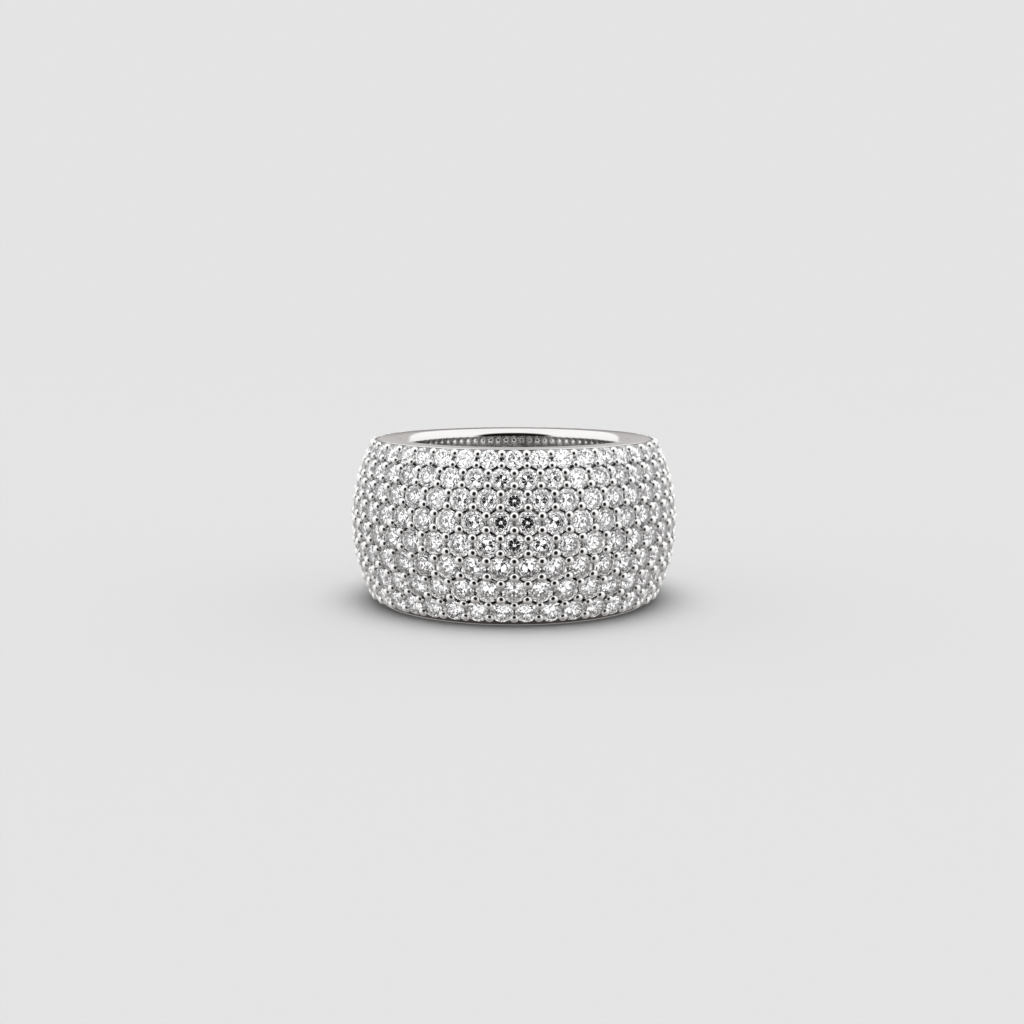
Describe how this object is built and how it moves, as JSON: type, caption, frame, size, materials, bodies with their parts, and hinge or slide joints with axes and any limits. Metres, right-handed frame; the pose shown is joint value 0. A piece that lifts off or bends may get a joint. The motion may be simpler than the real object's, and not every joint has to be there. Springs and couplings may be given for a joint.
{
  "type": "dome ring",
  "caption": "Wide domed finger ring, lying on its side: polished white-metal band with staggered rows of small round brilliants all round and a round finger hole.",
  "frame": {"origin": "middle of the flat rim that the ring lies on, on the axis of the finger hole", "axes": "+Z along the finger hole's axis, up from the rim that it lies on; -Y towards the viewer"},
  "size_m": [0.025, 0.025, 0.0125],
  "materials": {
    "white_metal": "mirror polished, rhodium-plated silver",
    "clear_stone": "cut and polished colourless stones"
  },
  "bodies": {
    "root": {"band": "white_metal", "stones": "clear_stone"}
  },
  "joints": []
}
